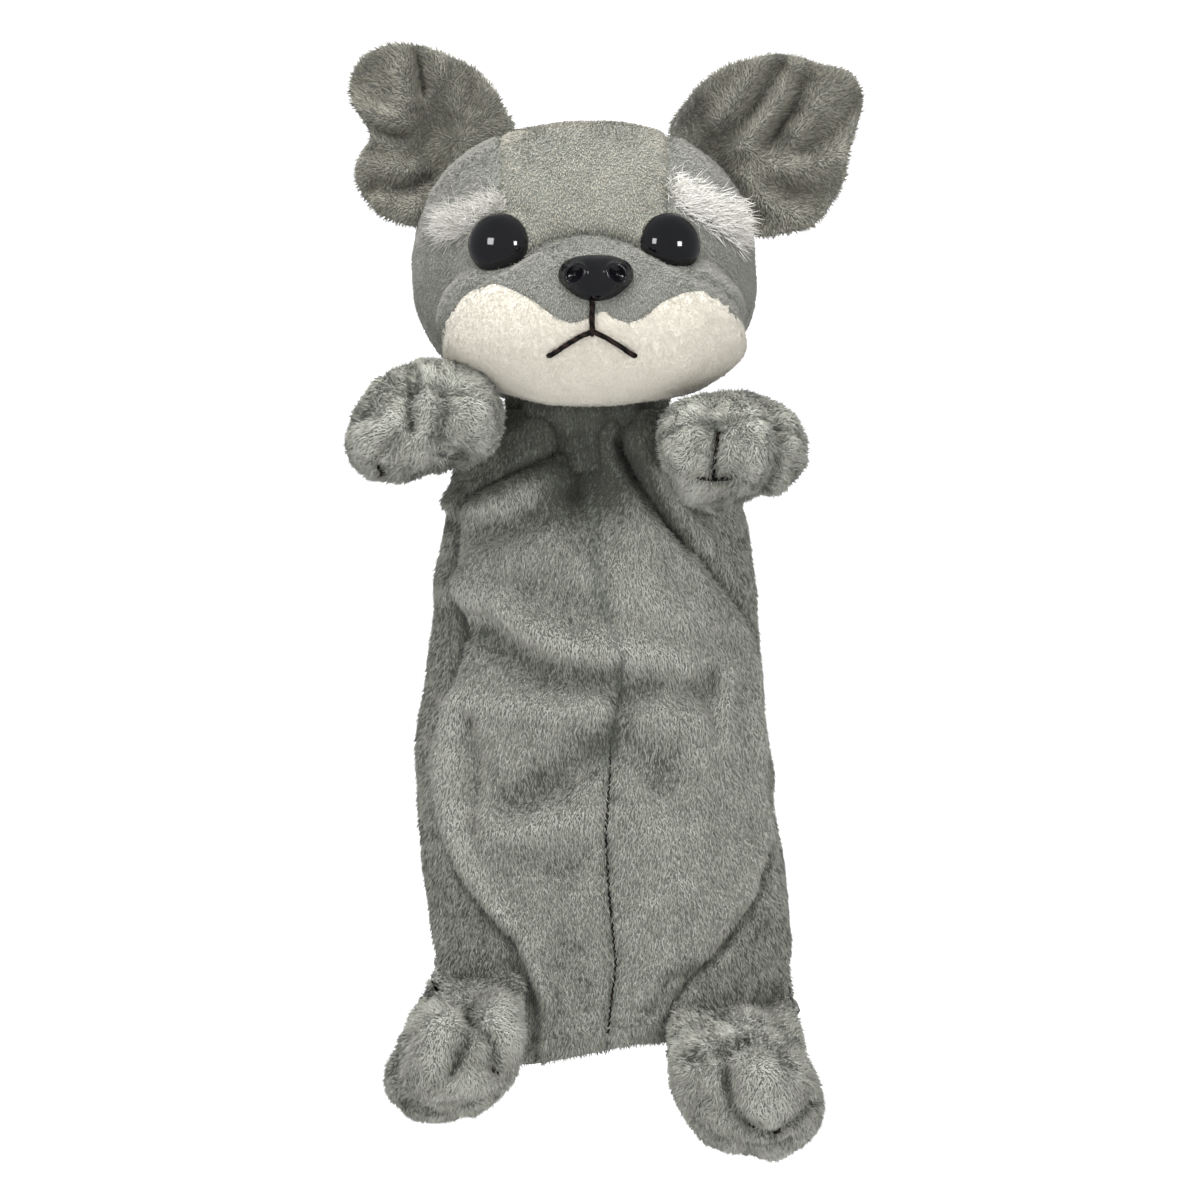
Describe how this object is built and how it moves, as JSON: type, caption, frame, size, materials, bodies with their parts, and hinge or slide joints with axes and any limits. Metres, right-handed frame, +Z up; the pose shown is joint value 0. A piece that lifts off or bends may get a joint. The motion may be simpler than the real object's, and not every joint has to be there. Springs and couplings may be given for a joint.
{
  "type": "glove puppet",
  "caption": "Small grey plush dog glove puppet with a stuffed head, white muzzle, flap ears, stuffed arms and legs, and a long open sleeve for the hand.",
  "frame": {"origin": "middle of the hem opening, where the hand goes in, level with the hem", "axes": "+Z up through the head, -Y the way the puppet faces, +X the puppet's own left"},
  "size_m": [0.1594, 0.1105, 0.3278],
  "materials": {
    "grey_plush": "short brushed pile",
    "white_plush": "short brushed pile",
    "grey_lining": "plain knitted backing",
    "fibre_filling": "loose polyester fibre",
    "grey_thread": "sewing thread",
    "dark_thread": "embroidery thread",
    "black_plastic": "polished",
    "washer_plastic": "moulded"
  },
  "bodies": {
    "torso": {"belly_panel_left": "grey_plush", "belly_panel_right": "grey_plush", "back_panel_left": "grey_plush", "back_panel_right": "grey_plush", "belly_seam_stitches": "grey_thread", "hem_band": "grey_plush", "hem_stitches": "grey_thread"},
    "neck": {"neck_sleeve": "grey_lining"},
    "head": {"crown_panel": "grey_plush", "face_side_left": "grey_plush", "face_side_right": "grey_plush", "head_back_left": "grey_plush", "head_back_right": "grey_plush", "muzzle_bridge": "grey_plush", "muzzle_chin": "white_plush", "head_stuffing": "fibre_filling", "finger_pocket": "grey_lining", "eye_left": "black_plastic", "eye_right": "black_plastic", "eye_washer_left": "washer_plastic", "eye_washer_right": "washer_plastic", "nose": "black_plastic", "nose_washer": "washer_plastic", "brow_left": "white_plush", "brow_right": "white_plush", "mouth_stitches": "dark_thread"},
    "ear_left": {"ear_left_front": "grey_plush", "ear_left_back": "grey_plush"},
    "ear_right": {"ear_right_front": "grey_plush", "ear_right_back": "grey_plush"},
    "arm_left": {"arm_left_palm": "grey_plush", "arm_left_back": "grey_plush", "arm_left_stuffing": "fibre_filling", "paw_left_stitches": "dark_thread"},
    "arm_right": {"arm_right_palm": "grey_plush", "arm_right_back": "grey_plush", "arm_right_stuffing": "fibre_filling", "paw_right_stitches": "dark_thread"},
    "leg_left": {"leg_left_top": "grey_plush", "leg_left_sole": "grey_plush", "leg_left_stuffing": "fibre_filling", "foot_left_stitches": "dark_thread"},
    "leg_right": {"leg_right_top": "grey_plush", "leg_right_sole": "grey_plush", "leg_right_stuffing": "fibre_filling", "foot_right_stitches": "dark_thread"}
  },
  "joints": [
    {"name": "head_turn", "type": "hinge", "parent": "torso", "child": "neck", "pos_m": [-0.004, 0, 0.196], "axis": [0, 0, 1], "range_deg": [-35, 35]},
    {"name": "head_nod", "type": "hinge", "parent": "neck", "child": "head", "pos_m": [-0.004, 0, 0.196], "axis": [-1, 0, 0], "range_deg": [-8, 35]},
    {"name": "arm_left_lift", "type": "hinge", "parent": "torso", "child": "arm_left", "pos_m": [0.037, -0.018, 0.163], "axis": [-1, 0, 0], "range_deg": [-55, 4], "stiffness_Nm_per_rad": 0.06},
    {"name": "arm_right_lift", "type": "hinge", "parent": "torso", "child": "arm_right", "pos_m": [-0.039, -0.017, 0.164], "axis": [-1, 0, 0], "range_deg": [-55, 4], "stiffness_Nm_per_rad": 0.06},
    {"name": "leg_left_swing", "type": "hinge", "parent": "torso", "child": "leg_left", "pos_m": [0.042, -0.022, 0.025], "axis": [-1, 0, 0], "range_deg": [-10, 50], "stiffness_Nm_per_rad": 0.12},
    {"name": "leg_right_swing", "type": "hinge", "parent": "torso", "child": "leg_right", "pos_m": [-0.038, -0.022, 0.025], "axis": [-1, 0, 0], "range_deg": [-10, 50], "stiffness_Nm_per_rad": 0.12},
    {"name": "ear_left_flop", "type": "hinge", "parent": "head", "child": "ear_left", "pos_m": [0.04055, 0.002, 0.26391], "axis": [0.6428, 0, -0.766], "range_deg": [-25, 60], "stiffness_Nm_per_rad": 0.015},
    {"name": "ear_right_flop", "type": "hinge", "parent": "head", "child": "ear_right", "pos_m": [-0.04355, 0.002, 0.26441], "axis": [0.6428, 0, 0.766], "range_deg": [-25, 60], "stiffness_Nm_per_rad": 0.015}
  ]
}
